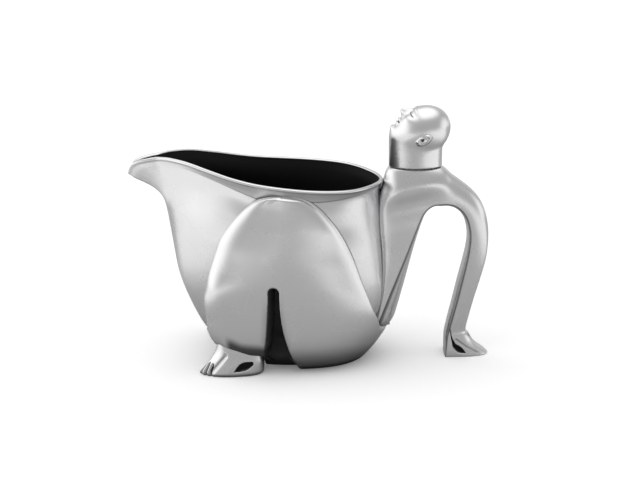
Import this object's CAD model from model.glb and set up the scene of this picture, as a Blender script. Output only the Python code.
import math

import bmesh
import bpy
import numpy as np
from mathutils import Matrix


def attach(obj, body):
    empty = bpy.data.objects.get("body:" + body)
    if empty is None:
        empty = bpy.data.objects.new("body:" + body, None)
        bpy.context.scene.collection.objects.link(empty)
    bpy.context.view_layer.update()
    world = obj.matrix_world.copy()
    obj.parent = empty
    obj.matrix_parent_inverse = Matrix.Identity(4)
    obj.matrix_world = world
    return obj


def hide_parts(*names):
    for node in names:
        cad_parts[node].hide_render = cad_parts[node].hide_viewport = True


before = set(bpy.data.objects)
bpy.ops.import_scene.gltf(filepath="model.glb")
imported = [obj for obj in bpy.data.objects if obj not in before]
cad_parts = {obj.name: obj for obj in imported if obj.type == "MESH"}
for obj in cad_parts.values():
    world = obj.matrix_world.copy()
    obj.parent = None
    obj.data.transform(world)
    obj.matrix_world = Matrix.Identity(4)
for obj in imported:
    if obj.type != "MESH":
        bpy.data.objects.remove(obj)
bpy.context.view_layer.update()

# The bowl is one thin-walled casting of white metal, polished to a satin outside. Its lip is rounded
# over and runs out to a drooping beak, and a fine dark crease sets the flare under the lip off from
# the wall.
bowl_l = 0.1155
beak_l = 0.0108
beak_w = 0.0104
beak_root_l = 0.012
beak_span = (0.7, 0.86)
beak_round = 3
beak_blend = 9
beak_draw = 1.15
front_draw = 1.3
half_rim = 0.0314
rim_h = 0.092
crest_rise = 0.012
floor_h = 0.002
floor_t = 0.005
wall_t = 0.002
handle_l = 0.0537
tip_x = -(beak_l + bowl_l + handle_l) / 2
root_x = tip_x + beak_l
back_rim_x = root_x + bowl_l

front_shares = [[0, 0.346], [0.04, 0.281], [0.1, 0.251], [0.18, 0.208], [0.29, 0.165],
                [0.38, 0.136], [0.475, 0.114], [0.62, 0.095], [0.73, 0.081], [0.82, 0.068],
                [0.9, 0.048], [1, 0]]
back_shares = [[0, 0.848], [0.03, 0.896], [0.07, 0.931], [0.12, 0.961], [0.18, 0.991],
               [0.25, 1.016], [0.32, 1.027], [0.42, 1.027], [0.55, 1.015], [0.7, 1.001],
               [0.85, 0.99], [0.94, 0.989], [1, 1]]
width_shares = [[0, 0.478], [0.03, 0.605], [0.08, 0.72], [0.15, 0.809], [0.25, 0.885],
                [0.38, 0.936], [0.55, 0.955], [0.75, 0.949], [0.88, 0.94], [0.95, 0.962], [1, 1]]
beak_shares = [[0, 0], [0.83, 0], [0.87, 0.03], [0.9, 0.12], [0.93, 0.32], [0.955, 0.6],
               [0.975, 0.86], [1, 1]]
rim_shares = [[0, 0.25], [0.005, 0.45], [0.016, 0.65], [0.038, 0.79], [0.06, 0.86],
              [0.09, 0.93], [0.12, 0.975], [0.157, 1], [0.228, 0.94], [0.323, 0.72], [0.418, 0.49],
              [0.513, 0.325], [0.656, 0.19], [0.798, 0.1], [1, 0]]
crease_drop = 0.0082
crease_drop_shares = [[0, 0.35], [0.2, 0.38], [0.24, 0.46], [0.32, 0.61], [0.37, 0.73], [0.435, 0.88],
                      [0.467, 0.96], [0.53, 1], [0.6, 0.86], [0.66, 0.66], [0.74, 0.63], [0.83, 0.48],
                      [0.91, 0.32], [0.96, 0.23], [1, 0.22]]
crease_d = 0.0009
crease_d_shares = [[0, 0], [0.16, 0], [0.26, 0.6], [0.36, 1], [0.8, 1], [0.9, 0.8], [0.97, 0.3], [1, 0]]
crease_fade = 0.016
bead_d = 0.0003
bead_rise = 0.0012
bead_fade = (0.01, 0.002)
crease_line = 0.0004
crease_dark = 0.6
flare_span = (0.62, 1)
body_full_shares = [[0, 1.06], [40, 1.1], [90, 1], [135, 0.9], [180, 0.86]]
lip_full_shares = [[0, 1], [20, 1.12], [40, 1.25], [60, 1.16], [85, 0.98], [110, 0.8],
                   [130, 0.62], [150, 0.46], [180, 0.36]]
lip_r = wall_t / 2
wall_rise = rim_h - floor_h
lip_level = 1 - lip_r / wall_rise
inner_floor_h = floor_h + floor_t


def curve(table, x):
    """Smooth curve through the points of a table, read at x."""
    xs, ys = np.array(table, float).T
    last = len(xs) - 1
    near = np.maximum(np.arange(last + 1) - 1, 0)
    far = np.minimum(np.arange(last + 1) + 1, last)
    slope = (ys[far] - ys[near]) / (xs[far] - xs[near])
    q = np.clip(x, xs[0], xs[-1])
    i = np.clip(np.searchsorted(xs, q, side="right") - 1, 0, last - 1)
    h = xs[i + 1] - xs[i]
    s = (q - xs[i]) / h
    return (ys[i] * (1 + 2 * s) * (1 - s) ** 2 + ys[i + 1] * s ** 2 * (3 - 2 * s)
            + h * (slope[i] * s * (1 - s) ** 2 + slope[i + 1] * s ** 2 * (s - 1)))


def ease(start, stop, x):
    """Runs smoothly from 0 at start to 1 at stop, whichever of the two is larger."""
    s = np.clip((x - start) / (stop - start), 0, 1)
    return s * s * (3 - 2 * s)


def hump(at, half, x):
    """A smooth hump, 1 at its middle and about a third at its half width."""
    return np.exp(-((x - at) / half) ** 2)


def egg_front(t):
    """Front end of the bowl's egg-shaped section at level t."""
    return root_x + bowl_l * curve(front_shares, t)


def egg_back(t):
    """Back end of the same section."""
    return root_x + bowl_l * curve(back_shares, t)


def egg_half(t):
    """Half the width of the same section."""
    return half_rim * curve(width_shares, t)


def beak_front(t):
    """Tip of the beak at level t, and the front of the egg where there is no beak."""
    return egg_front(t) - beak_l * curve(beak_shares, t)


def fullness(a, t):
    """How wide the section is at angle a and level t, against a plain ellipse."""
    p = ease(*flare_span, t)
    return curve(body_full_shares, a) * (1 - p) + curve(lip_full_shares, a) * p


def rim_z(share):
    """Height of the rim, at a share of the way from the beak's tip to the back."""
    return rim_h + crest_rise * curve(rim_shares, share)


def crease_t(share):
    """Level of the crease that ends the flare under the lip."""
    return lip_level - crease_drop * curve(crease_drop_shares, share) / (rim_z(share) - floor_h)


def pinch(share, t):
    """How far the flare and the bead of the lip draw the wall in, and how dark the crease is."""
    low = (lip_level - t) * (rim_z(share) - floor_h)
    drop = crease_drop * curve(crease_drop_shares, share)
    deep = curve(crease_d_shares, share)
    band = np.where(low < drop, np.clip(low / drop, 0, 1), 1 - ease(drop, drop + crease_fade, low))
    bead = ease(0, bead_rise, low) * ease(*bead_fade, low)
    dark = crease_dark * deep * hump(drop, crease_line, low)
    return crease_d * deep * band + bead_d * bead, dark


def sin(a):
    """Sine of an angle in degrees."""
    return np.sin(np.radians(a))


def cos(a):
    """Cosine of an angle in degrees."""
    return np.cos(np.radians(a))


def acos(c):
    """Angle in degrees that has the cosine c."""
    return np.degrees(np.arccos(np.clip(c, -1, 1)))


def bowl_point(u, t, d, base):
    """Point of the wall at turn u and level t, drawn in by d, over a floor at height base."""
    near = np.where(u > 180, 360 - u, u)
    p = np.minimum(t / lip_level, 1)
    tip = beak_front(p) + front_draw * d
    root = egg_front(p) + front_draw * d
    back = egg_back(p) - d
    x = (tip + back) / 2 + (back - tip) / 2 * cos(near)
    a = acos((2 * x - root - back) / (back - root))
    side = np.where(x < root, 0, (egg_half(p) - d) * fullness(a, p) * sin(a))
    join = root_x + beak_root_l
    r = np.clip((join - x) / np.where(tip < join, join - tip, 1), 0, 1)
    beak = (beak_w / 2 - beak_draw * d) * np.sqrt(1 - r ** beak_round) * ease(*beak_span, t)
    beak = np.where((tip < join) & (x < join), beak, 0)
    y = (np.maximum(side, 0) ** beak_blend + np.maximum(beak, 0) ** beak_blend) ** (1 / beak_blend)
    z = base + (rim_z((1 + cos(near)) / 2) - base) * t
    return np.stack([x, np.where(u > 180, y, -y), z], 1)


def satin(name, colour, oxide, roughness):
    """Satin white metal, polished by hand: faintly clouded and uneven, with dark oxide where the
    wheel can't reach, which the float attribute recess marks."""
    metal = bpy.data.materials.new(name)
    metal.use_nodes = True
    nodes, links = metal.node_tree.nodes, metal.node_tree.links
    shader = nodes["Principled BSDF"]
    shader.inputs["Metallic"].default_value = 1
    place = nodes.new("ShaderNodeTexCoord")
    mark = nodes.new("ShaderNodeAttribute")
    mark.attribute_name = "recess"
    cloud = nodes.new("ShaderNodeTexNoise")
    cloud.inputs["Scale"].default_value = 55
    cloud.inputs["Detail"].default_value = 2
    links.new(place.outputs["Object"], cloud.inputs["Vector"])
    bloom = nodes.new("ShaderNodeMapRange")
    bloom.inputs["To Max"].default_value = 0.05
    links.new(cloud.outputs["Fac"], bloom.inputs["Value"])
    depth = nodes.new("ShaderNodeMath")
    depth.use_clamp = True
    links.new(mark.outputs["Fac"], depth.inputs[0])
    links.new(bloom.outputs["Result"], depth.inputs[1])
    tone = nodes.new("ShaderNodeMix")
    tone.data_type = "RGBA"
    tone.inputs["A"].default_value = (*colour, 1)
    tone.inputs["B"].default_value = (*oxide, 1)
    links.new(depth.outputs["Value"], tone.inputs["Factor"])
    links.new(tone.outputs["Result"], shader.inputs["Base Color"])
    wear = nodes.new("ShaderNodeMapRange")
    wear.inputs["To Min"].default_value = roughness - 0.02
    wear.inputs["To Max"].default_value = roughness + 0.03
    links.new(cloud.outputs["Fac"], wear.inputs["Value"])
    dull = nodes.new("ShaderNodeMix")
    dull.data_type = "FLOAT"
    dull.inputs["B"].default_value = 0.6
    links.new(wear.outputs["Result"], dull.inputs["A"])
    links.new(mark.outputs["Fac"], dull.inputs["Factor"])
    links.new(dull.outputs["Result"], shader.inputs["Roughness"])
    wander = nodes.new("ShaderNodeTexNoise")
    wander.inputs["Scale"].default_value = 90
    wander.inputs["Detail"].default_value = 0
    links.new(place.outputs["Object"], wander.inputs["Vector"])
    hand = nodes.new("ShaderNodeBump")
    hand.inputs["Strength"].default_value = 1
    hand.inputs["Distance"].default_value = 0.00008
    links.new(wander.outputs["Fac"], hand.inputs["Height"])
    links.new(hand.outputs["Normal"], shader.inputs["Normal"])
    return metal


satin_metal = satin("satin_metal", colour=(0.75, 0.75, 0.755), oxide=(0.02, 0.02, 0.021), roughness=0.27)
weld = 2e-6
under_dark = 0.6
under_turn = (-0.1, -0.9)
low_dark = 0.7
low_turn = (0.1, -0.4)
low_span = (0.02, 0.003)


def piece_of(bm, name, material):
    """A new piece of the scene, from the mesh in bm and a material."""
    mesh = bpy.data.meshes.new(name)
    bm.to_mesh(mesh)
    bm.free()
    mesh.materials.append(material)
    piece = bpy.data.objects.new(name, mesh)
    bpy.context.scene.collection.objects.link(piece)
    return piece


def cast(name, columns, rows, place, material):
    """A welded, closed skin: a grid laid on the surface that place(u, v) gives, u and v from 0 to 1.
    What faces the table is out of the polishing wheel's reach, and stays darker."""
    bm = bmesh.new()
    bmesh.ops.create_grid(bm, x_segments=columns, y_segments=rows, size=1)
    spots = (np.array([vert.co for vert in bm.verts]) + 1) / 2
    points, recess = place(spots[:, 0], spots[:, 1])
    dark = bm.verts.layers.float.new("recess")
    for vert, point, depth in zip(bm.verts, points, recess):
        vert.co = point
        vert[dark] = depth
    bmesh.ops.remove_doubles(bm, verts=bm.verts, dist=weld)
    bmesh.ops.recalc_face_normals(bm, faces=bm.faces)
    bm.normal_update()
    for face in bm.faces:
        face.smooth = True
    up = np.array([vert.normal.z for vert in bm.verts])
    high = np.array([vert.co.z for vert in bm.verts])
    under = under_dark * ease(*under_turn, up)
    under = np.maximum(under, low_dark * ease(*low_span, high) * ease(*low_turn, up))
    for vert, depth in zip(bm.verts, under):
        vert[dark] = max(vert[dark], depth)
    return piece_of(bm, name, material)


# Rows of the bowl's grid, from the middle of the underside out, up, over the lip and down inside:
# share of the way up to the crease, share from there to the lip, rise over the lip, depth into the
# wall, share of the way out from the middle, and height of the floor.
under_steps = (0, 0.4, 0.75, 0.93, 0.985)
inner_steps = (0.9, 0.6, 0)
wall_rows = 100
wall_pace = 0.9
flare_rows = 26
lip_rows = 12
inner_rows = 40
arc = [math.pi * k / lip_rows for k in range(1, lip_rows + 1)]
climb = [math.sin(math.pi / 2 * (k / wall_rows) ** wall_pace) for k in range(wall_rows + 1)]
fall = [1 - k / inner_rows for k in range(1, inner_rows + 1)]
bowl_rows = np.array(
    [[0, 0, 0, 0, s, floor_h] for s in under_steps]
    + [[t, 0, 0, 0, 1, floor_h] for t in climb]
    + [[1, k / flare_rows, 0, 0, 1, floor_h] for k in range(1, flare_rows + 1)]
    + [[1, 1, (1 - lip_level) * math.sin(s), lip_r - lip_r * math.cos(s), 1, floor_h] for s in arc]
    + [[t, t, 0, wall_t, 1, inner_floor_h] for t in fall]
    + [[0, 0, 0, wall_t, s, inner_floor_h] for s in inner_steps])


def by_row(table, v):
    """Each column of a table of rows, read at v from 0 to 1."""
    k = v * (len(table) - 1)
    return [np.interp(k, np.arange(len(table)), column) for column in table.T]


def drawn_in(points, s):
    """The points drawn towards the middle of the floor, to the share s of their way out."""
    middle = np.array([(beak_front(0.0) + egg_back(0.0)) / 2, 0])
    points[:, :2] = middle + (points[:, :2] - middle) * s[:, None]
    return points


def bowl_surface(u, v):
    """Outside and inside of the bowl in one skin, u round it and v along the rows."""
    low, band, over, d, s, base = by_row(bowl_rows, v)
    share = (1 + np.cos(2 * math.pi * u)) / 2
    t = low * crease_t(share) + band * (lip_level - crease_t(share)) + over
    draw, dark = pinch(share, t)
    outside = d < lip_r / 100
    points = bowl_point(u * 360, t, d + np.where(outside, draw, 0), base)
    return drawn_in(points, s), np.where(outside, dark, 0)


bowl = cast("bowl_casting", columns=400, rows=len(bowl_rows) - 1, place=bowl_surface, material=satin_metal)
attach(bowl, "root")
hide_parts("bowl")

# The lining is a coat of black enamel over the whole inside of the bowl, laid on wet and stopped at a
# clean line just under the lip. It is satin, with the faint peel of a coat that has flowed.
lining_t = 0.0005
lining_stop = 0.0006
lining_level = 1 - lining_stop / wall_rise
lining_steps = 60
lining_climb = [math.sin(math.pi / 2 * k / lining_steps) for k in range(lining_steps + 1)]
lining_fall = [math.cos(math.pi / 2 * k / lining_steps) for k in range(lining_steps + 1)]
lining_rows = np.array(
    [[0, wall_t, s, inner_floor_h] for s in reversed(inner_steps)]
    + [[lining_level * t, wall_t, 1, inner_floor_h] for t in lining_climb]
    + [[lining_level * t, wall_t + lining_t, 1, inner_floor_h + lining_t] for t in lining_fall]
    + [[0, wall_t + lining_t, s, inner_floor_h + lining_t] for s in inner_steps])


def lining_surface(u, v):
    """Both faces of the coat, u round the bowl and v along the rows."""
    t, d, s, base = by_row(lining_rows, v)
    return drawn_in(bowl_point(u * 360, t, d, base), s), np.zeros(len(u))


def grained(name, scale, colours, gloss, relief):
    """A finish with a fine grain that its colour, its roughness and its surface all follow."""
    finish = bpy.data.materials.new(name)
    finish.use_nodes = True
    nodes, links = finish.node_tree.nodes, finish.node_tree.links
    shader = nodes["Principled BSDF"]
    place = nodes.new("ShaderNodeTexCoord")
    grain = nodes.new("ShaderNodeTexNoise")
    grain.inputs["Scale"].default_value = scale
    grain.inputs["Detail"].default_value = 3
    links.new(place.outputs["Object"], grain.inputs["Vector"])
    tone = nodes.new("ShaderNodeMix")
    tone.data_type = "RGBA"
    tone.inputs["A"].default_value = (*colours[0], 1)
    tone.inputs["B"].default_value = (*colours[1], 1)
    links.new(grain.outputs["Fac"], tone.inputs["Factor"])
    links.new(tone.outputs["Result"], shader.inputs["Base Color"])
    wear = nodes.new("ShaderNodeMapRange")
    wear.inputs["To Min"].default_value = gloss[0]
    wear.inputs["To Max"].default_value = gloss[1]
    links.new(grain.outputs["Fac"], wear.inputs["Value"])
    links.new(wear.outputs["Result"], shader.inputs["Roughness"])
    ripple = nodes.new("ShaderNodeBump")
    ripple.inputs["Strength"].default_value = 1
    ripple.inputs["Distance"].default_value = relief
    links.new(grain.outputs["Fac"], ripple.inputs["Height"])
    links.new(ripple.outputs["Normal"], shader.inputs["Normal"])
    return finish, shader


enamel_blacks = ((0.0015, 0.0015, 0.0015), (0.0035, 0.0035, 0.0037))
enamel, shader = grained("black_enamel", scale=260, colours=enamel_blacks, gloss=(0.54, 0.66),
                         relief=0.00003)
shader.inputs["Specular IOR Level"].default_value = 0.2
lining = cast("lining_coat", columns=240, rows=len(lining_rows) - 1, place=lining_surface, material=enamel)
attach(lining, "root")
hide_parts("lining")

# Each leg is a casting of the white metal, pinned and brazed to the bowl's side: a thigh shaped like a
# bell, the haunch behind and the calf in front. The slot is cut nearly down to the bowl and left dark.
thigh_t = 0.009
shin_t = 0.0081
knee_level = 0.954
knee_edge = 0.02
knee_round = 0.9
leg_sink = 0.0002
leg_fit = 0.996
wall_step_t = 0.004
wall_step_a = 0.5
# How the grid is laid on a leg, in shares of its rows and columns.
knee_v = 0.93
leg_pace = 1.09
leg_lag = 0.01
outer_u = 0.85
flank = 0.12
flank_turn = 2.5
# Levels between which one form turns into the next, and the leg's edges and fullness by level.
flank_span = (0.13, 0.22)
smooth_level = 0.14
thigh_span = (0.2, 0.8)
full_span = (0.4, 0.8)
leg_back_shares = [[0, 29], [0.14, 29], [0.2, 30.5], [0.25, 34.5], [0.316, 39.6], [0.45, 44],
                   [0.62, 48.5], [0.776, 56], [0.88, 64], [0.915, 67.5], [0.935, 70.5],
                   [0.946, 73.5], [0.954, 78.5]]
leg_front_shares = [[0, 116], [0.05, 118], [0.07, 142], [0.12, 146.5], [0.18, 146.5], [0.25, 143],
                    [0.36, 138.5], [0.456, 133], [0.55, 127.6], [0.657, 120.8], [0.75, 112.8],
                    [0.84, 104], [0.9, 97], [0.92, 93.5], [0.937, 89.5], [0.947, 86], [0.954, 80]]
leg_side_shares = [[0, 0.44], [0.012, 0.86], [0.03, 1.03], [0.05, 1.16], [0.08, 1.24], [0.12, 1.26],
                   [0.17, 1.21], [0.25, 1.1], [0.36, 1], [0.47, 0.93], [0.58, 0.83], [0.68, 0.72],
                   [0.77, 0.62], [0.84, 0.53], [0.89, 0.44], [0.93, 0.34], [0.95, 0.28]]
leg_rear_shares = [[0, 0.4], [0.012, 0.58], [0.03, 0.48], [0.05, 0.47], [0.08, 0.55], [0.2, 0.6],
                   [0.4, 0.5], [0.96, 0.2]]
leg_hang_shares = [[0, 1], [0.012, 1.6], [0.03, 1.65], [0.05, 1.25], [0.08, 0.6], [0.12, 0.15],
                   [0.17, 0], [1, 0]]
calf_full_shares = [[0, 1.08], [40, 1.08], [90, 0.997], [115, 1.085], [135, 1.28], [150, 1.38],
                    [180, 1.45]]
haunch_shares = [[0, 1], [0.55, 1], [0.75, 1], [0.87, 0.95], [0.94, 0.82], [1, 0.48]]
thigh_shares = [[0, 0.25], [0.04, 0.45], [0.14, 0.68], [0.32, 0.91], [0.5, 1], [0.68, 0.97],
                [0.8, 0.88], [0.9, 0.68], [0.96, 0.4], [1, 0.04]]
calf_low = [[-0.06, 0.0136], [-0.0465, 0.0142], [-0.0445, 0.0149], [-0.0403, 0.0136],
            [-0.0373, 0.0125], [-0.0333, 0.0109], [-0.0237, 0.01], [-0.018, 0.0098]]
# The ridge that fills out the front edge of the thigh.
ridge_full = 0.05
ridge_more = 0.2
ridge_more_span = (0.5, 0.8)
ridge_span = (0.25, 0.4)
ridge_across = (0.6, 0.9)
ridge_edge = 0.94
# The slot, wider at its foot, and the web left in it there.
slot_x = root_x + bowl_l * 0.532
slot_h = 0.046
slot_w = 0.0048
slot_fore = 0.0036
slot_rear = 0.0105
slot_spread = 2.2
slot_edge = 0.0007
slot_press = 0.96
web_press = 0.34
web_span = (0.16, 0.05)
calf_edge = 0.0007
off_wall_span = (0.1, 0.5)
# Dark oxide that the wheel leaves: how dark it is, and from where to where it comes in.
seam_dark = 0.85
rear_seam = (0.55, 1)
front_seam = (0.965, 1)
front_seam_span = (0.7, 0.82)
knee_dark = 0.35
knee_seam = (0.9, 1)
hem_dark = 0.9
hem_span = (0.0085, 0.002)
ankle_dark = 0.85
ankle_span = (0.0085, 0.003)
ankle_reach = (-0.0425, -0.0385)
slot_dark = 0.95
corner_reach = (-0.007, 0)
corner_span = (0.013, 0.005)
brink_dark = 0.25
brink_reach = (-0.004, -0.0005)
brink_span = (0.045, 0.03)


def wall_point(a, t):
    """Point of the wall behind the beak at egg angle a on the figure's left."""
    tip, root, back = beak_front(t), egg_front(t), egg_back(t)
    x = (root + back) / 2 + (back - root) / 2 * cos(a)
    share = (1 + np.clip((2 * x - tip - back) / (back - tip), -1, 1)) / 2
    y = (egg_half(t) - pinch(share, t)[0]) * fullness(np.abs(a), t) * sin(a)
    return np.stack([x, -y, floor_h + (rim_z(share) - floor_h) * t], 1)


def wall_out(a, t, h):
    """The same point moved out from the wall by h."""
    low = np.maximum(t - wall_step_t, 0)
    high = np.minimum(t + wall_step_t, 1)
    up = wall_point(a, high) - wall_point(a, low)
    on = wall_point(a + wall_step_a, t) - wall_point(a - wall_step_a, t)
    n = np.cross(up, on)
    return wall_point(a, t) + h * n / np.linalg.norm(n, axis=1, keepdims=True)


def leg_angle(table, t):
    """Angle of a leg's edge round the egg at level t, with sharp corners near the foot."""
    return np.where(t > smooth_level, curve(table, t), np.interp(t, *np.array(table).T))


def in_slot(x, z):
    """How far inside the slot's outline a spot lies, below 0 outside it."""
    top = slot_h - slot_w / 2
    down = np.clip((top - z) / top, 0, 1)
    aside = x - slot_x
    room = slot_w / 2 + np.where(aside > 0, slot_rear, slot_fore) * down ** slot_spread
    rounded = slot_w / 2 - np.hypot(aside, z - top)
    return np.where(z > top, rounded, room - np.abs(aside))


def leg_surface(u, v):
    """The near leg: u runs from the bowl over the rear flank and the outer face to the front edge,
    and back along the bowl; v runs from the table up and over the knee."""
    over = np.clip((v - knee_v) / (1 - knee_v), 0, 1)
    below = np.clip(v * leg_pace - leg_lag, 0, 1)
    t = (knee_level - knee_edge) * np.sin(math.pi / 2 * below) + knee_edge * over
    across = np.where(u < outer_u, u / outer_u, (1 - u) / (1 - outer_u))
    s = np.clip((across - flank) / (1 - flank), 0, 1)
    r = np.clip((flank - across) / flank, 0, 1)
    back = leg_angle(leg_back_shares, t)
    front = leg_angle(leg_front_shares, t)
    high = ease(*flank_span, t)
    start = (back - flank_turn) * high
    a = np.where(r > 0, back + (start - back) * r, back + (front - back) * s)
    p = ease(*thigh_span, t)
    k = curve(haunch_shares, s) * (1 - p) + curve(thigh_shares, s) * p
    ridge = (ridge_full + ridge_more * ease(*ridge_more_span, t)) * high * ease(*ridge_span, t)
    past = np.clip((s - ridge_edge) / (1 - ridge_edge), 0, 1)
    k = (k + ridge * ease(*ridge_across, s)) * np.sqrt(1 - past ** 2)
    spread = np.where(r > 0, (k + (1 - k) * r) * (1 - high) + k * np.sqrt(1 - r ** 2) * high, k)
    spread = spread * np.sqrt(1 - over ** 2) ** knee_round
    base = wall_out(a, t, -leg_sink)
    fore = egg_front(t) - shin_t
    rear = egg_back(t) + thigh_t * curve(leg_rear_shares, t)
    side = egg_half(t) + thigh_t * curve(leg_side_shares, t)
    q = ease(*full_span, t)
    full = curve(calf_full_shares, a) * (1 - q) + fullness(a, t) * q
    x = (fore + rear) / 2 + (rear - fore) / 2 * cos(a)
    z = wall_point(a, t)[:, 2] - floor_h * curve(leg_hang_shares, t)
    out = np.stack([x, -side * full * sin(a), z], 1)
    inside = in_slot(x, z)
    pressed = ease(-slot_edge, slot_edge, inside)
    press = slot_press + (web_press - slot_press) * ease(*web_span, t)
    close = np.where((v <= 0) | (u >= outer_u), 0, 1)
    points = base + (out - base) * (leg_fit * spread * (1 - press * pressed) * close)[:, None]
    points[:, 1] = np.minimum(points[:, 1], 0)
    points[:, 2] = np.maximum(points[:, 2], 0)
    low = curve(calf_low, points[:, 0])
    fore_side = points[:, 0] < slot_x
    soft = low + calf_edge * np.logaddexp(0, (points[:, 2] - low) / calf_edge)
    off_wall = ease(*off_wall_span, spread)
    lifted = points[:, 2] + (soft - points[:, 2]) * off_wall * (1 - pressed)
    points[:, 2] = np.where(fore_side, lifted, points[:, 2])
    x, z = points[:, 0], points[:, 2]
    seam = np.maximum(ease(*rear_seam, r), ease(*front_seam, s) * ease(*front_seam_span, t))
    dark = [seam_dark * high * seam,
            knee_dark * ease(*knee_seam, over),
            hem_dark * ease(*hem_span, z),
            ankle_dark * ease(*ankle_span, z - low) * ease(*ankle_reach, x) * fore_side * off_wall,
            slot_dark * ease(*corner_reach, inside) * ease(*corner_span, z),
            brink_dark * ease(*brink_reach, inside) * ease(*brink_span, z),
            slot_dark * pressed]
    return points, np.max(dark, axis=0)


def mirrored(place):
    """The same surface on the figure's other side."""
    def other(u, v):
        points, recess = place(u, v)
        return points * [1, -1, 1], recess
    return other


for name, place in (("leg_left", leg_surface), ("leg_right", mirrored(leg_surface))):
    leg = cast(name + "_casting", columns=360, rows=220, place=place, material=satin_metal)
    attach(leg, "root")
    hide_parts(name)

# The back, the arms and the hand are one casting of the white metal, brazed to the back of the bowl.
# The arms run together into one arched handle, and the hand lies flat on the table.
collar_h = 0.0983
collar_round = 0.0012
arm_w = 0.014
back_sink = 0.0003
first_angle = 20.0
angle_rounds = 4
last_back_row = 12
cap_v = 0.015
outer_skin_u = 0.7
fingertip_reach = 0.9988
# Sections from the back's lower end over the shoulders to the fingertips: x and z of the outer line,
# x and z of the edge inside the arch, width, bulge of the face inside the arch, and squareness.
section_shares = [
    [-0.083, 0.15, -0.076, 0.15, 1.3, 0.9, 6],
    [-0.080, 0.2085, -0.037, 0.2085, 1.98, 1.14, 6],
    [-0.054, 0.285, 0.017, 0.285, 1.94, 1.05, 6],
    [-0.028, 0.366, 0.075, 0.366, 1.81, 0.91, 6],
    [-0.019, 0.468, 0.147, 0.463, 1.66, 0.69, 5.5],
    [-0.024, 0.57, 0.222, 0.565, 1.54, 0.47, 5],
    [-0.047, 0.682, 0.296, 0.672, 1.46, 0.31, 4.5],
    [-0.052, 0.773, 0.354, 0.751, 1.4, 0.24, 4],
    [-0.032, 0.86, 0.392, 0.782, 1.37, 0.22, 3.6],
    [0.002, 0.926, 0.424, 0.798, 1.37, 0.22, 3.3],
    [0.052, 0.993, 0.452, 0.807, 1.4, 0.22, 3],
    [0.168, 1.03, 0.478, 0.812, 1.4, 0.24, 2.9],
    [0.345, 1.032, 0.504, 0.814, 1.32, 0.25, 2.8],
    [0.533, 0.998, 0.533, 0.815, 1.2, 0.26, 2.6],
    [0.633, 0.953, 0.605, 0.815, 1.1, 0.26, 2.5],
    [0.736, 0.912, 0.672, 0.803, 1.03, 0.26, 2.4],
    [0.829, 0.869, 0.732, 0.777, 0.99, 0.26, 2.4],
    [0.903, 0.817, 0.773, 0.743, 0.97, 0.26, 2.4],
    [0.953, 0.751, 0.799, 0.702, 0.96, 0.26, 2.4],
    [0.979, 0.676, 0.814, 0.646, 0.95, 0.26, 2.4],
    [0.983, 0.6, 0.808, 0.58, 0.94, 0.28, 2.4],
    [0.966, 0.509, 0.786, 0.504, 0.92, 0.32, 2.4],
    [0.914, 0.397, 0.745, 0.397, 0.89, 0.36, 2.4],
    [0.866, 0.305, 0.706, 0.3, 0.86, 0.37, 2.4],
    [0.823, 0.214, 0.665, 0.209, 0.83, 0.35, 2.4],
    [0.791, 0.132, 0.63, 0.132, 0.82, 0.3, 2.4],
    [0.824, 0.103, 0.616, 0.103, 0.89, 0.24, 2.5],
    [0.852, 0.074, 0.61, 0.074, 0.98, 0.2, 2.6],
    [0.896, 0.05, 0.605, 0.05, 1.05, 0.16, 2.6],
    [0.94, 0.033, 0.602, 0.033, 1.09, 0.13, 2.6],
    [0.985, 0.0132, 0.599, 0.0132, 1.12, 0.1, 2.6],
    [1, 0.004, 0.599, 0.004, 1.12, 0.1, 2.6],
    [0.997, 0, 0.6, 0, 1.1, 0.1, 2.6]]


def wall_back(y, z):
    """Where the wall's back lies at width y and height z, by a few rounds from a first angle."""
    t = np.clip((z - floor_h) / (rim_h - floor_h), 0, 1)
    a = np.full(len(y), first_angle)
    for attempt in range(angle_rounds):
        a = np.degrees(np.arcsin(np.clip(np.abs(y) / (egg_half(t) * fullness(a, t)), 0, 1)))
    return wall_point(a, t)[:, 0]


shoulder_x = 0.0384
shoulder_h = 0.081
shoulder_slope = 0.245
shoulder_r = 0.0052
shoulder_d = 0.002
shoulder_half = 0.7 * arm_w
shoulder_in = (0.034, 0.044)
shoulder_out = (0.076, 0.056)
arch_in = (4, 8)
arch_out = (16, 13)
arch_shares = [[-0.06, 1.4], [0.05, 1.41], [0.17, 1.4], [0.35, 1.33], [0.533, 1.2], [0.633, 1.11],
               [0.736, 1.04], [0.829, 1], [0.98, 0.96]]
# Dark lines along the casting's edges and where the back meets the bowl.
edge_dark = 0.75
edge_line = 0.0003
edge_start = 0.02
edge_stop = 0.97
touch_dark = 0.85
touch_line = 0.00035
touch_span = (0.088, 0.08)


def beside(x, z, path):
    """Distance from (x, z) to a path of places, and how far along it the nearest spot lies."""
    best, along = np.full(len(x), 1.0), np.zeros(len(x))
    for k in range(len(path) - 1):
        (x0, z0), (x1, z1) = path[k], path[k + 1]
        s = np.clip(((x - x0) * (x1 - x0) + (z - z0) * (z1 - z0)) / ((x1 - x0) ** 2 + (z1 - z0) ** 2), 0, 1)
        far = np.hypot(x - x0 - s * (x1 - x0), z - z0 - s * (z1 - z0))
        along = np.where(far < best, (k + s) / (len(path) - 1), along)
        best = np.minimum(best, far)
    return best, along


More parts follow.
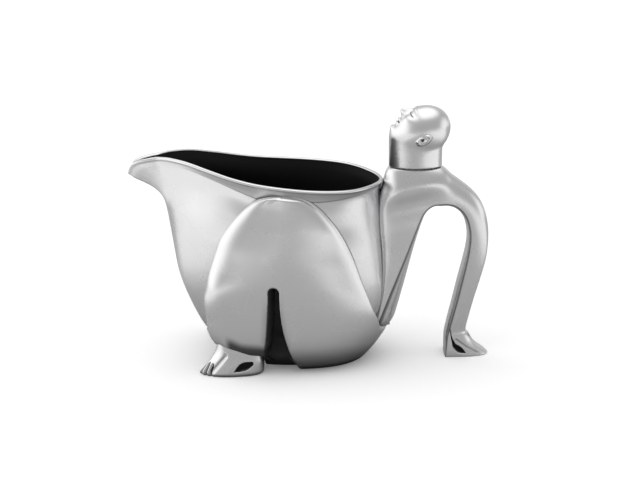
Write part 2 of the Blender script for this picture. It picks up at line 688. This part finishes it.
# The hollow beside the thumb and the grooves between the fingers, as x and z on the hand's side.
thumb_path = [[0.0705, 0.0143], [0.0714, 0.0095], [0.0728, 0.0058], [0.0752, 0.0038], [0.0785, 0.0018]]
thumb_shares = [[0, 0.0001], [0.3, 0.0004], [0.6, 0.0012], [0.8, 0.0013], [1, 0.0001]]
thumb_edge = (1.25, 0.75)
thumb_d = 0.14
finger_paths = [[[0.0727, 0.0096], [0.0792, 0.0048], [0.0857, 0.0012]],
                [[0.0789, 0.0112], [0.0835, 0.007], [0.0893, 0.0024]]]
finger_line = 0.0005
finger_end = 0.1
finger_d = 0.07
finger_dark = 0.45


def back_surface(u, v):
    """Back, handle and hand in one skin: u runs round the section, first over the outer skin and then
    along the face inside the arch, and v from the back's lower end to the fingertips."""
    k = np.clip(v * (1 + 2 * cap_v) - cap_v, 0, 1) * (len(section_shares) - 1)
    ox, oz, ex, ez, w, b, n = [curve(list(enumerate(column)), k) for column in zip(*section_shares)]
    outer = np.stack([back_rim_x + handle_l * np.minimum(ox, fingertip_reach), 0 * k, collar_h * oz], 1)
    edge = np.stack([back_rim_x + handle_l * ex, 0 * k, collar_h * ez], 1)
    b = b * arm_w / 2
    skin = u < outer_skin_u
    g = np.where(skin, u / outer_skin_u, (u - outer_skin_u) / (1 - outer_skin_u)) * 180
    reach = edge - outer
    size = np.linalg.norm(reach, axis=1)
    r = (np.abs(cos(g)) ** n + np.abs(sin(g)) ** n) ** (-1 / n)
    along = np.where(skin, 1 - r * sin(g), 1 + b * sin(g) / size)
    points = outer + reach * along[:, None]
    arch = ease(*arch_in, k) * ease(*arch_out, k)
    w = (w * (1 - arch) + curve(arch_shares, (points[:, 0] - back_rim_x) / handle_l) * arch) * arm_w / 2
    low = (points[:, 2] - shoulder_h - shoulder_slope * (points[:, 0] - shoulder_x)) / shoulder_r
    fold = low * np.exp(-0.5 * low ** 2)
    fold = fold * ease(*shoulder_in, points[:, 0]) * ease(*shoulder_out, points[:, 0])
    w = w * (1 + shoulder_d / shoulder_half * fold)
    points[:, 1] = np.where(skin, -w * r * cos(g), w * cos(g))
    below = (points[:, 2] < rim_h) & (k < last_back_row)
    wall = wall_back(points[:, 1], points[:, 2]) - back_sink
    points[:, 0] = np.where(below, np.maximum(points[:, 0], wall), points[:, 0])
    over = np.maximum(points[:, 2] - collar_h + collar_round, 0)
    topped = collar_h - collar_round * np.exp(-over / collar_round)
    points[:, 2] = np.where(over > 0, topped, points[:, 2])
    middle = outer + reach * 0.5
    shrink = np.clip(np.minimum(v, 1 - v) / cap_v, 0, 1)
    points = middle + (points - middle) * shrink[:, None]
    points[:, 2] = np.maximum(points[:, 2], 0)
    off_edge = np.where(skin, size * r * sin(g), w * (1 - np.abs(cos(g))))
    line = edge_dark * hump(0, edge_line, off_edge) * (v > edge_start) * (v < edge_stop)
    touch = touch_dark * hump(wall, touch_line, points[:, 0]) * ease(*touch_span, points[:, 2])
    far, along = beside(points[:, 0], points[:, 2], thumb_path)
    hollow = ease(*thumb_edge, far / curve(thumb_shares, along)) * skin
    recess = np.max([line, touch, hollow], axis=0)
    points[:, 1] *= 1 - thumb_d * hollow
    for path in finger_paths:
        far, along = beside(points[:, 0], points[:, 2], path)
        ends = ease(0, finger_end, along) * ease(1, 1 - finger_end, along)
        groove = hump(0, finger_line, far) * skin * ends
        points[:, 1] *= 1 - finger_d * groove
        recess = np.maximum(recess, finger_dark * groove)
    return points, recess


back = cast("back_and_handle", columns=240, rows=400, place=back_surface, material=satin_metal)
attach(back, "root")
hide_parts("torso", "arm", "hand")

# Each foot is a small casting of the white metal, brazed under the calf, flat soled. The gaps between
# its toes are cut in, and the hollow of the arch and the gaps are left dark.
ankle_h = 0.013
ankle_x = root_x + bowl_l * 0.39
ankle_y = -0.0288
foot_l = 0.0364
foot_w = 0.015
foot_splay = math.radians(10)
foot_top = 1.3
foot_square = 0.8
foot_cap_v = 0.08
# Height up the ankle, reach to the toes, reach to the heel and half width, in shares.
foot_shares = [[0, 0.525, 0.28, 0.9], [0.06, 0.553, 0.31, 0.97], [0.15, 0.555, 0.32, 1],
               [0.33, 0.49, 0.32, 0.97], [0.5, 0.432, 0.32, 0.93], [0.65, 0.388, 0.31, 0.88],
               [0.85, 0.35, 0.3, 0.78], [1.08, 0.325, 0.22, 0.62], [1.3, 0.315, 0.15, 0.4]]
toe_reach = 0.56
toe_set_back = 0.2
toe_set_span = (-0.1, 0.9)
toe_turn = math.radians(35)
# Gaps between the toes, by their place across the foot, and how they cut into it.
toe_gaps = [0.0058, 0.0083, 0.0108, 0.0131]
toe_gap_w = 0.0007
toe_gap_l = 0.005
toe_gap_full_l = 0.003
toe_gap_d = 0.0022
toe_gap_side = 0.0008
toe_gap_fall = 0.2
tendon_path = [[-0.0412, 0.0124], [-0.0413, 0.0101], [-0.0446, 0.0062], [-0.0477, 0.0026]]
tendon_line = 0.0008
tendon_start = 0.4
tendon_d = 0.0008
tendon_dark = 0.25
hollow_path = [[-0.0371, 0.0026], [-0.0333, 0.0048], [-0.0288, 0.0062]]
hollow_shares = [[0, 0.0001], [0.35, 0.0014], [0.7, 0.0019], [1, 0.0011]]
hollow_edge = (1.2, 0.8)
hollow_d = 0.0015


def foot_surface(u, v):
    """The near foot, u round it and v from the middle of the sole up to the ankle's top."""
    rise = np.clip((v - foot_cap_v) / (1 - 2 * foot_cap_v), 0, 1) * foot_top
    fill = np.clip(np.minimum(v, 1 - v) / foot_cap_v, 0, 1)
    fore, rear, half = [curve([[row[0], row[k]] for row in foot_shares], rise) for k in (1, 2, 3)]
    a = u * 360
    length = foot_l * np.where(cos(a) > 0, fore, rear) * fill
    x = -np.sign(cos(a)) * np.abs(cos(a)) ** foot_square * length
    y = np.sign(sin(a)) * np.abs(sin(a)) ** foot_square * foot_w / 2 * half * fill
    z = ankle_h * rise
    set_back = 1 - toe_set_back * ease(*toe_set_span, -2 * y / foot_w)
    x = np.where(x < 0, x * set_back, x)
    tip = -toe_reach * foot_l * set_back
    recess = np.zeros(len(u))
    across = y * math.cos(toe_turn) - x * math.sin(toe_turn)
    for at in toe_gaps:
        near = np.exp(-((across - at) / toe_gap_w) ** 4) * ease(tip + toe_gap_l, tip + toe_gap_full_l, x)
        recess = np.maximum(recess, near)
    x = x + recess * toe_gap_d
    y = y + recess * toe_gap_side
    z = z * (1 - toe_gap_fall * recess)
    points = np.stack([ankle_x + x * math.cos(foot_splay) - y * math.sin(foot_splay),
                       ankle_y + x * math.sin(foot_splay) + y * math.cos(foot_splay),
                       np.maximum(z, 0)], 1)
    outside = y < 0
    far, along = beside(points[:, 0], points[:, 2], tendon_path)
    groove = hump(0, tendon_line, far) * outside * ease(0, tendon_start, along)
    points[:, 1] += tendon_d * groove
    far, along = beside(points[:, 0], points[:, 2], hollow_path)
    hollow = ease(*hollow_edge, far / curve(hollow_shares, along)) * outside
    points[:, 1] += hollow_d * hollow
    return points, np.max([recess, hollow, tendon_dark * groove], axis=0)


for name, place in (("foot_left", foot_surface), ("foot_right", mirrored(foot_surface))):
    foot = cast(name + "_casting", columns=400, rows=160, place=place, material=satin_metal)
    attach(foot, "root")
    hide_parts(name)

# The head is one casting with the neck, in the same white metal, seated on the flat collar between the
# shoulders. Its face is a plain calm one, on even proportions, with the lids closed.
neck_l = 0.0262
neck_w = 0.0176
neck_x = back_rim_x + handle_l * 0.295
neck_most = 0.05
neck_fade = (-0.2, 0.3)
neck_blend = 0.001
foot_line = (0.0004, 0.0001)
foot_line_dark = 0.65
head_rise = 0.0175
head_l = 0.02894
head_d = 0.024
head_w = 0.021
head_tilt = math.radians(30)
head_shift = neck_l * 0.12
head_at = np.array([neck_x + head_shift, 0, collar_h + head_rise])
crown_way = np.array([math.cos(head_tilt), 0, math.sin(head_tilt)])
face_way = np.array([-crown_way[2], 0, crown_way[0]])
mm = 1000
face_columns = 22
face_span = (0.5, 5.0)
eye_aside = 4.1
# Soft rises and hollows of the face in millimetres: height over the head's middle, distance to each
# side, how tall and how wide they are, and how far they stand out.
face_swells = {
    "nose_wings": (-4.2, 1.75, 0.75, 0.7, 0.75),
    "nostrils": (-4.95, 0.95, 0.35, 0.4, -0.5),
    "brows": (3.3, 3.9, 1.3, 3.0, 0.55),
    "eye_sockets": (0.6, eye_aside, 2.0, 2.4, -1.5),
    "eyelids": (0.4, eye_aside, 1.3, 1.9, 1.15),
    "lip_groove": (-6.3, 0, 0.7, 0.45, -0.2),
    "chin_crease": (-10.1, 0, 0.7, 2.2, -0.45),
    "chin": (-12.0, 0, 1.8, 2.8, 1.5),
    "cheeks": (-3.6, 5.8, 3.0, 2.4, 0.7)}
nose_rise = 3.0
nose_bridge = (2.6, -3.6)
nose_under = (-5.3, -4.2)
nose_half = 0.95
nose_widens = 0.75
nose_widening = (1.5, -4.0)
lash_c = -0.55
lash_bend = 0.1
lash_line = 0.22
lash_l = (2.4, 1.7)
lash_d = 0.3
lash_dark_line = 0.25
lash_dark_l = (2.4, 1.9)
bow_rise = 0.18
bow_aside = 0.8
bow_half = 0.6
upper_lip = (-7.15, 0.6, 0.85)
upper_lip_l = (3.1, 1.2)
lower_lip = (-8.75, 0.7, 1.0)
lower_lip_l = (2.8, 0.8)
mouth_c = -7.9
mouth_bend = 0.05
mouth_line = 0.24
mouth_l = (3.2, 2.2)
mouth_d = 0.75
mouth_dark_line = 0.3


def swell(c, s, at, aside, tall, wide, height):
    """A soft rise on both sides of the face, or in its middle."""
    across = hump(aside, wide, s)
    if aside:
        across = across + hump(-aside, wide, s)
    return height * hump(at, tall, c) * across


def lash(c, s, line, length):
    """How near a spot is to the line where a closed lid ends."""
    lid = np.abs(s) - eye_aside
    return hump(lash_c + lash_bend * lid ** 2, line, c) * ease(*length, np.abs(lid))


def mouth(c, s, line):
    """How near a spot is to the line between the lips."""
    return hump(mouth_c + mouth_bend * s ** 2, line, c) * ease(*mouth_l, np.abs(s))


def face_relief(c, s):
    """Rise of the face over the egg of the head, by height c and width s, in millimetres."""
    half = nose_half + nose_widens * ease(*nose_widening, c)
    rise = nose_rise * ease(*nose_bridge, c) * ease(*nose_under, c) * hump(0, half, s)
    for shape in face_swells.values():
        rise = rise + swell(c, s, *shape)
    bow = bow_rise * hump(bow_aside, bow_half, np.abs(s))
    at, half, height = upper_lip
    rise = rise + height * hump(at + bow, half, c) * ease(*upper_lip_l, np.abs(s))
    at, half, height = lower_lip
    rise = rise + height * hump(at, half, c) * ease(*lower_lip_l, np.abs(s))
    return rise - lash_d * lash(c, s, lash_line, lash_l) - mouth_d * mouth(c, s, mouth_line)


ear_c = -0.8
ear_f = -2.4
ear_tall = 3.6
ear_wide = 2.1
ear_span = (5, 7.5)
ear_root = (1.2, 0.85)
ear_root_rise = 0.45
ear_rear = (0.7, -0.3)
ear_front_share = 0.3
ear_slant = 0.5
# Rims round the ear: place between its middle, 0, and its outline, 1, half width, and rise.
ear_rims = {"outer_rim": (0.9, 0.17, 0.75), "inner_rim": (0.5, 0.14, 0.4)}
# Swellings of the ear: height, half height, distance forward, half length, and rise.
ear_swells = {"lobe": (-2.9, 0.9, 0.4, 0.9, 0.75),
              "flap": (-0.7, 0.7, 1.45, 0.45, 0.6),
              "shell": (-0.6, 1.0, 0.3, 0.7, -0.8)}
ear_hole = (-0.6, 0.85, 0.3, 0.55)
ear_hole_dark = 0.95
ear_fold = (0.7, 0.09)
ear_fold_span = (0.5, 0)
ear_fold_dark = 0.45
behind_ear = (1.2, 0.08)
behind_ear_span = (0.2, -0.8)
behind_ear_dark = 0.7


def ear_relief(c, f):
    """Rise of an ear over the side of the head and how dark it is, by height c and distance f to the
    front of its middle, in millimetres."""
    e = np.hypot(c / ear_tall, f / ear_wide)
    lean = f / ear_wide - ear_slant * c / ear_tall
    rear = ear_front_share + (1 - ear_front_share) * ease(*ear_rear, lean)
    rise = ear_root_rise * ease(*ear_root, e) * rear
    for at, half, height in ear_rims.values():
        rise = rise + height * rear * hump(at, half, e)
    for c_at, c_half, f_at, f_half, height in ear_swells.values():
        rise = rise + height * hump(c_at, c_half, c) * hump(f_at, f_half, f)
    c_at, c_half, f_at, f_half = ear_hole
    hole = np.exp(-((c - c_at) / c_half) ** 4 - ((f - f_at) / f_half) ** 4)
    dark = [ear_hole_dark * hole,
            ear_fold_dark * rear * hump(*ear_fold, e) * ease(*ear_fold_span, f),
            behind_ear_dark * hump(*behind_ear, e) * ease(*behind_ear_span, f)]
    return rise, np.max(dark, axis=0)


def head_surface(u, v):
    """Head and neck in one skin, seen from the head's middle: u turns round it, with more columns on
    the face, and v falls from the crown to the collar."""
    turn = u * 360 - face_columns * np.sin(2 * math.pi * u)
    fall = v * 180
    d = (cos(fall)[:, None] * crown_way + (sin(fall) * cos(turn))[:, None] * face_way
         + (sin(fall) * sin(turn))[:, None] * np.array([0, 1, 0]))
    c, f, s = d @ crown_way, d @ face_way, d[:, 1]
    skull = 1 / np.sqrt((2 * c / head_l) ** 2 + (2 * f / head_d) ** 2 + (2 * s / head_w) ** 2)
    p, q = 2 / neck_l, 2 / neck_w
    flat = (d[:, 0] * p) ** 2 + (d[:, 1] * q) ** 2
    lean = d[:, 0] * p * head_shift * p
    root = np.sqrt(np.maximum(lean ** 2 - flat * ((head_shift * p) ** 2 - 1), 0))
    neck = np.minimum((root - lean) / np.maximum(flat, 1e-3), neck_most)
    fade = 1 - ease(*neck_fade, neck * d[:, 2] / head_rise)
    both = (neck + skull + np.sqrt((neck - skull) ** 2 + neck_blend ** 2)) / 2
    r = skull + (both - skull) * fade
    points = d * r[:, None]
    c, s, f = points @ crown_way * mm, points[:, 1] * mm, points @ face_way * mm
    front = ease(*face_span, f)
    points = points + (face_relief(c, s) * front / mm)[:, None] * face_way
    ear, hollow = ear_relief(c - ear_c, f - ear_f)
    side = ease(*ear_span, np.abs(s))
    points[:, 1] += np.sign(s) * ear * side / mm
    recess = np.max([mouth(c, s, mouth_dark_line) * front,
                     lash(c, s, lash_dark_line, lash_dark_l) * front,
                     hollow * side,
                     foot_line_dark * ease(*foot_line, points[:, 2] + head_rise)], axis=0)
    down = np.where(points[:, 2] < -head_rise, -head_rise / points[:, 2], 1)
    return head_at + points * down[:, None], recess


head = cast("head_and_neck", columns=400, rows=240, place=head_surface, material=satin_metal)
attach(head, "root")
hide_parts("head")

# Turned steel pins and dowels hold the castings together inside the joints, out of sight: their CAD
# solids stay, in bright steel that is finely uneven, as turning leaves it.
steel_greys = ((0.42, 0.42, 0.43), (0.56, 0.56, 0.57))
steel, shader = grained("turned_steel", scale=900, colours=steel_greys, gloss=(0.22, 0.4), relief=0.00001)
shader.inputs["Metallic"].default_value = 1
for name in ("neck_stud", "shoulder_dowel", "wrist_dowel", "ankle_dowels", "seat_pins", "waist_pins"):
    pin = bpy.data.objects[name]
    for material_slot in pin.material_slots:
        material_slot.material = steel

# The jug stands on plain white paper, faintly fibrous. It shows itself a little brighter to the
# camera and in the metal than the studio lights it, and keeps the jug's shadow.
paper_half = 6
paper_glow = 0.14
paper = bpy.data.materials.new("floor_paper")
paper.use_nodes = True
nodes, links = paper.node_tree.nodes, paper.node_tree.links
shader = nodes["Principled BSDF"]
shader.inputs["Roughness"].default_value = 1
shader.inputs["Specular IOR Level"].default_value = 0
shader.inputs["Emission Color"].default_value = (1, 1, 1, 1)
place = nodes.new("ShaderNodeTexCoord")
fibre = nodes.new("ShaderNodeTexNoise")
fibre.inputs["Scale"].default_value = 700
links.new(place.outputs["Object"], fibre.inputs["Vector"])
tone = nodes.new("ShaderNodeMix")
tone.data_type = "RGBA"
tone.inputs["A"].default_value = (0.95, 0.95, 0.95, 1)
tone.inputs["B"].default_value = (0.97, 0.97, 0.97, 1)
links.new(fibre.outputs["Fac"], tone.inputs["Factor"])
links.new(tone.outputs["Result"], shader.inputs["Base Color"])
ray = nodes.new("ShaderNodeLightPath")
seen = nodes.new("ShaderNodeMath")
links.new(ray.outputs["Is Camera Ray"], seen.inputs[0])
links.new(ray.outputs["Is Glossy Ray"], seen.inputs[1])
through = nodes.new("ShaderNodeMath")
links.new(seen.outputs["Value"], through.inputs[0])
links.new(ray.outputs["Is Transmission Ray"], through.inputs[1])
lift = nodes.new("ShaderNodeMath")
lift.operation = "MULTIPLY"
lift.inputs[1].default_value = paper_glow
links.new(through.outputs["Value"], lift.inputs[0])
links.new(lift.outputs["Value"], shader.inputs["Emission Strength"])
bm = bmesh.new()
bmesh.ops.create_grid(bm, x_segments=1, y_segments=1, size=paper_half)
floor = piece_of(bm, "studio_floor", paper)

# A grey card lies on the paper round the jug, cut away to the left and the right in front. Only the
# metal shows it, which gives the rounds of the castings their grey.
card_r = 1.6
card_h = 0.0004
card_middle_x = 0.03
card_gap_x = (0.12, 0.21)
card_gap_y = (0.1, 0.03)
grey = bpy.data.materials.new("studio_grey")
grey.use_nodes = True
nodes, links = grey.node_tree.nodes, grey.node_tree.links
nodes["Principled BSDF"].inputs["Base Color"].default_value = (0.5, 0.5, 0.5, 1)
nodes["Principled BSDF"].inputs["Roughness"].default_value = 1
nodes["Principled BSDF"].inputs["Specular IOR Level"].default_value = 0
place = nodes.new("ShaderNodeTexCoord")
split = nodes.new("ShaderNodeSeparateXYZ")
links.new(place.outputs["Object"], split.inputs["Vector"])
middle = nodes.new("ShaderNodeMath")
middle.operation = "SUBTRACT"
middle.inputs[1].default_value = card_middle_x
links.new(split.outputs["X"], middle.inputs[0])
wide = nodes.new("ShaderNodeMath")
wide.operation = "ABSOLUTE"
links.new(middle.outputs["Value"], wide.inputs[0])
gap = []
for way_out, span in ((wide.outputs["Value"], card_gap_x), (split.outputs["Y"], card_gap_y)):
    side = nodes.new("ShaderNodeMapRange")
    side.interpolation_type = "SMOOTHSTEP"
    side.inputs["From Min"].default_value = span[0]
    side.inputs["From Max"].default_value = span[1]
    links.new(way_out, side.inputs["Value"])
    gap.append(side.outputs["Result"])
open_side = nodes.new("ShaderNodeMath")
open_side.operation = "MULTIPLY"
links.new(gap[0], open_side.inputs[0])
links.new(gap[1], open_side.inputs[1])
cover = nodes.new("ShaderNodeMapRange")
cover.inputs["To Min"].default_value = 1
cover.inputs["To Max"].default_value = 0
links.new(open_side.outputs["Value"], cover.inputs["Value"])
links.new(cover.outputs["Result"], nodes["Principled BSDF"].inputs["Alpha"])
bm = bmesh.new()
bmesh.ops.create_circle(bm, cap_ends=True, segments=96, radius=card_r)
bmesh.ops.translate(bm, vec=(0, 0, card_h), verts=bm.verts)
card = piece_of(bm, "studio_card", grey)
card.visible_camera = False
card.visible_diffuse = False
card.visible_shadow = False

# The studio is a soft grey room with a bright soft panel overhead, one to the left, one to the right
# and a faint one behind.
world = bpy.data.worlds.new("studio")
bpy.context.scene.world = world
world.use_nodes = True
nodes, links = world.node_tree.nodes, world.node_tree.links
way = nodes.new("ShaderNodeTexCoord")
split = nodes.new("ShaderNodeSeparateXYZ")
links.new(way.outputs["Generated"], split.inputs["Vector"])
height = nodes.new("ShaderNodeMapRange")
height.inputs["From Min"].default_value = -1
links.new(split.outputs["Z"], height.inputs["Value"])
sky = nodes.new("ShaderNodeValToRGB")
sky.color_ramp.interpolation = "EASE"
# Brightness of the room from its floor, 0, to its ceiling, 1.
stops = [[0.35, 0.47], [0.5, 0.5], [0.6, 0.47], [0.84, 0.5], [0.95, 1.45]]
sky.color_ramp.elements[0].position, sky.color_ramp.elements[1].position = stops[0][0], stops[-1][0]
for at, level in stops[1:-1]:
    sky.color_ramp.elements.new(at)
for stop, (at, level) in zip(sky.color_ramp.elements, stops):
    stop.color = (level, level, level, 1)
links.new(height.outputs["Result"], sky.inputs["Fac"])
light = sky.outputs["Color"]
panels = (("X", -0.5, -0.88, 0.95), ("X", 0.8, 0.98, 0.7), ("Y", 0.3, 0.9, 0.2))
for axis, start, stop, strength in panels:
    panel = nodes.new("ShaderNodeMapRange")
    panel.interpolation_type = "SMOOTHSTEP"
    panel.inputs["From Min"].default_value = start
    panel.inputs["From Max"].default_value = stop
    panel.inputs["To Max"].default_value = strength
    links.new(split.outputs[axis], panel.inputs["Value"])
    both = nodes.new("ShaderNodeMath")
    links.new(light, both.inputs[0])
    links.new(panel.outputs["Result"], both.inputs[1])
    light = both.outputs["Value"]
links.new(light, nodes["Background"].inputs["Color"])

# The camera stands a metre off and looks 17 degrees down on the jug's side.
camera_away = 1
camera_tilt = math.radians(17)
look_x = 0.00505
look_z = 0.0595
camera_data = bpy.data.cameras.new("camera")
camera_data.lens = 112.5
camera_data.sensor_width = 36
camera = bpy.data.objects.new("camera", camera_data)
camera.location = (look_x, -camera_away * math.cos(camera_tilt), look_z + camera_away * math.sin(camera_tilt))
camera.rotation_euler = (math.pi / 2 - camera_tilt, 0, 0)
bpy.context.scene.collection.objects.link(camera)
bpy.context.scene.camera = camera
bpy.context.scene.view_settings.view_transform = "Standard"
